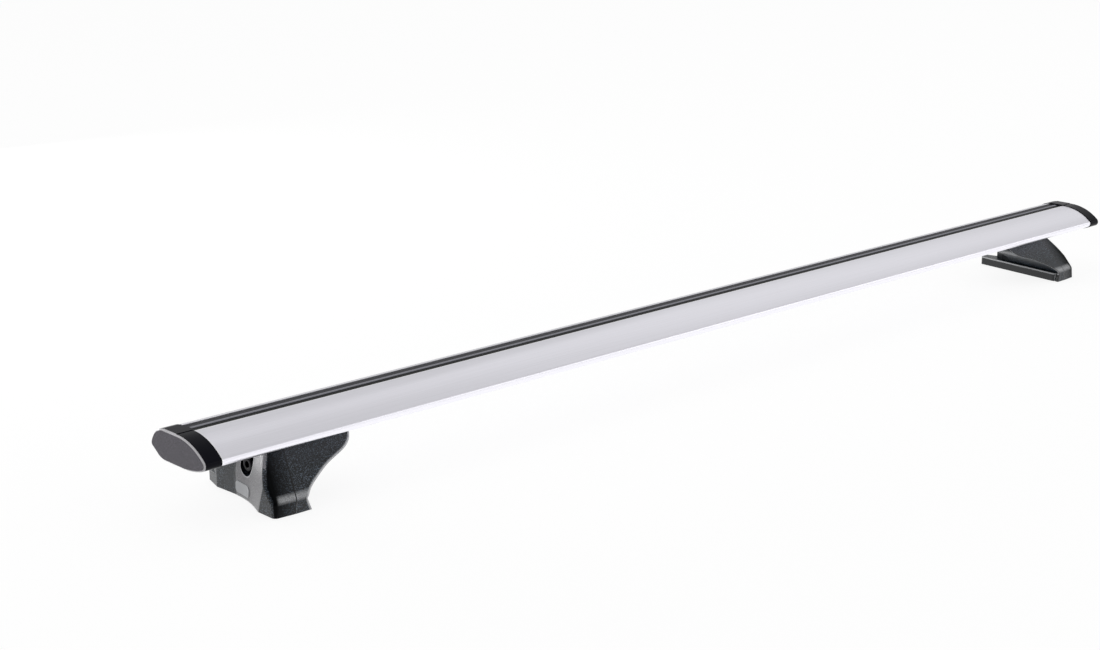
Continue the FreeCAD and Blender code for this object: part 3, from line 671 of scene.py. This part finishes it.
class CROSSBAR_OT_clamps(bpy.types.Operator):
    """Finishes the steel clamp parts and models the threaded clamp screws."""

    bl_idname = "crossbar.clamps"
    bl_label = "Finish the clamps"

    def execute(self, context):
        zinc = zinc_plate(context.scene.crossbar_finish)
        dark = dark_steel(context.scene.crossbar_finish)
        fittings = context.scene.crossbar_fittings
        for side in SIDES:
            for part in ZINC_PARTS:
                dress(side + "_" + part, zinc)
            screw = new_piece(
                side + "_threaded_screw", lambda shape: spun_screw(shape, side, fittings), dark)
            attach(screw, side + "_screw")
            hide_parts(side + "_clamp_screw")
        return {"FINISHED"}


def area_lamp(name, target, way, distance, width, height, radiance):
    """Soft rectangular lamp at a distance from a point, in a given direction, facing the point."""
    light = bpy.data.lights.new(name, "AREA")
    light.shape = "RECTANGLE"
    light.size = width
    light.size_y = height
    light.energy = radiance * math.pi * width * height
    made = new_object(name, light)
    made.location = Vector(target) + Vector(way).normalized() * distance
    made.rotation_euler = (-Vector(way)).to_track_quat("-Z", "Y").to_euler()
    made.visible_camera = False


class CROSSBAR_OT_stage(bpy.types.Operator):
    """Sets the floor, backdrop, soft light and camera."""

    bl_idname = "crossbar.stage"
    bl_label = "Set the stage"

    def floor(self):
        """Pale floor that glows to the camera, and in reflections except before the bar's left end."""
        mesh = bpy.data.meshes.new("studio_floor")
        shape = bmesh.new()
        bmesh.ops.create_grid(shape, x_segments=1, y_segments=1, size=FLOOR_HALF_SIZE)
        shape.to_mesh(mesh)
        shape.free()
        material = bpy.data.materials.new("Pale floor")
        material.use_nodes = True
        material.node_tree.nodes.clear()
        made = Tree(material.node_tree)
        path = made.node("ShaderNodeLightPath").outputs
        place = made.node("ShaderNodeTexCoord").outputs["Object"]
        left_end = CAD_BOX[0].x
        inward = made.spread(made.part(place, "X"), 0.1, 1.0, left_end - LEFT_FADE, left_end + LEFT_FADE)
        behind = made.spread(made.part(place, "Y"), 0.0, 1.0, -FRONT_FADE, FRONT_FADE)
        mirrored = made.product(path["Is Glossy Ray"], made.math("MAXIMUM", inward, behind))
        seen = made.math("MAXIMUM", path["Is Camera Ray"], mirrored)
        strength = made.math("MULTIPLY_ADD", path["Is Glossy Ray"], 0.25, 1.10)
        diffuse = made.result("ShaderNodeBsdfDiffuse", "BSDF", {"Color": (0.80, 0.80, 0.80)})
        glow = made.result("ShaderNodeEmission", "Emission", {"Strength": strength})
        mixed = made.mix_shaders(made.product(seen, FLOOR_GLOW_SHARE), diffuse, glow)
        made.feed(made.node("ShaderNodeOutputMaterial").inputs["Surface"], mixed)
        mesh.materials.append(material)
        new_object("studio_floor", mesh)

    def world(self, scene, level):
        """White to the camera, an even light to the rest, weaker from the left front."""
        world = bpy.data.worlds.new("Studio")
        scene.world = world
        world.use_nodes = True
        world.node_tree.nodes.clear()
        made = Tree(world.node_tree)
        ways = {0: made.node("ShaderNodeTexCoord").outputs["Generated"], 1: Vector(DARK_WAY).normalized()}
        towards = made.result("ShaderNodeVectorMath", "Value", ways, operation="DOT_PRODUCT")
        fade = made.spread(towards, level, 0.1 * level, 0.55, 0.85, interpolation_type="SMOOTHSTEP")
        soft = made.result("ShaderNodeBackground", "Background", {"Color": WHITE, "Strength": fade})
        white = made.result("ShaderNodeBackground", "Background", {"Color": WHITE})
        seen = made.node("ShaderNodeLightPath").outputs["Is Camera Ray"]
        mixed = made.mix_shaders(seen, soft, white)
        made.feed(made.node("ShaderNodeOutputWorld").inputs["Surface"], mixed)

    def camera(self, scene, stage):
        camera = bpy.data.cameras.new("camera")
        camera.sensor_fit = "HORIZONTAL"
        camera.sensor_width = SENSOR_WIDTH
        camera.lens = stage.focal_pixels / IMAGE_WIDTH * SENSOR_WIDTH
        camera.clip_end = 100.0
        made = new_object("camera", camera)
        made.location = stage.camera_place
        made.rotation_euler = (math.pi / 2 - stage.pitch, 0.0, stage.heading - math.pi / 2)
        scene.camera = made

    def execute(self, context):
        scene = context.scene
        stage = scene.crossbar_stage
        scene.view_settings.view_transform = "Standard"
        self.floor()
        self.world(scene, stage.surround)
        for name, target, way, distance, width, height, radiance in LAMPS:
            area_lamp(name, target, way, distance, width, height, radiance * stage.light_level)
        self.camera(scene, stage)
        return {"FINISHED"}


OPERATORS = (CROSSBAR_OT_bar, CROSSBAR_OT_caps, CROSSBAR_OT_feet, CROSSBAR_OT_clamps, CROSSBAR_OT_stage)


class CROSSBAR_PT_panel(bpy.types.Panel):
    """Sidebar panel with the finishes, fittings and steps."""

    bl_idname = "CROSSBAR_PT_panel"
    bl_label = "Roof crossbar"
    bl_space_type = "VIEW_3D"
    bl_region_type = "UI"
    bl_category = "Crossbar"

    def draw(self, context):
        layout = self.layout
        scene = context.scene
        for group in (scene.crossbar_finish, scene.crossbar_fittings, scene.crossbar_stage):
            box = layout.box()
            for name in group.__annotations__:
                box.prop(group, name)
        for operator in OPERATORS:
            layout.operator(operator.bl_idname)


CLASSES = (CrossbarFinish, CrossbarFittings, CrossbarStage, *OPERATORS, CROSSBAR_PT_panel)


def register():
    for item in CLASSES:
        bpy.utils.register_class(item)
    bpy.types.Scene.crossbar_finish = bpy.props.PointerProperty(type=CrossbarFinish)
    bpy.types.Scene.crossbar_fittings = bpy.props.PointerProperty(type=CrossbarFittings)
    bpy.types.Scene.crossbar_stage = bpy.props.PointerProperty(type=CrossbarStage)


def unregister():
    del bpy.types.Scene.crossbar_stage
    del bpy.types.Scene.crossbar_fittings
    del bpy.types.Scene.crossbar_finish
    for item in reversed(CLASSES):
        bpy.utils.unregister_class(item)


def main():
    register()
    bpy.ops.crossbar.bar()
    bpy.ops.crossbar.caps()
    bpy.ops.crossbar.feet()
    bpy.ops.crossbar.clamps()
    bpy.ops.crossbar.stage()


if __name__ == "__main__":
    main()
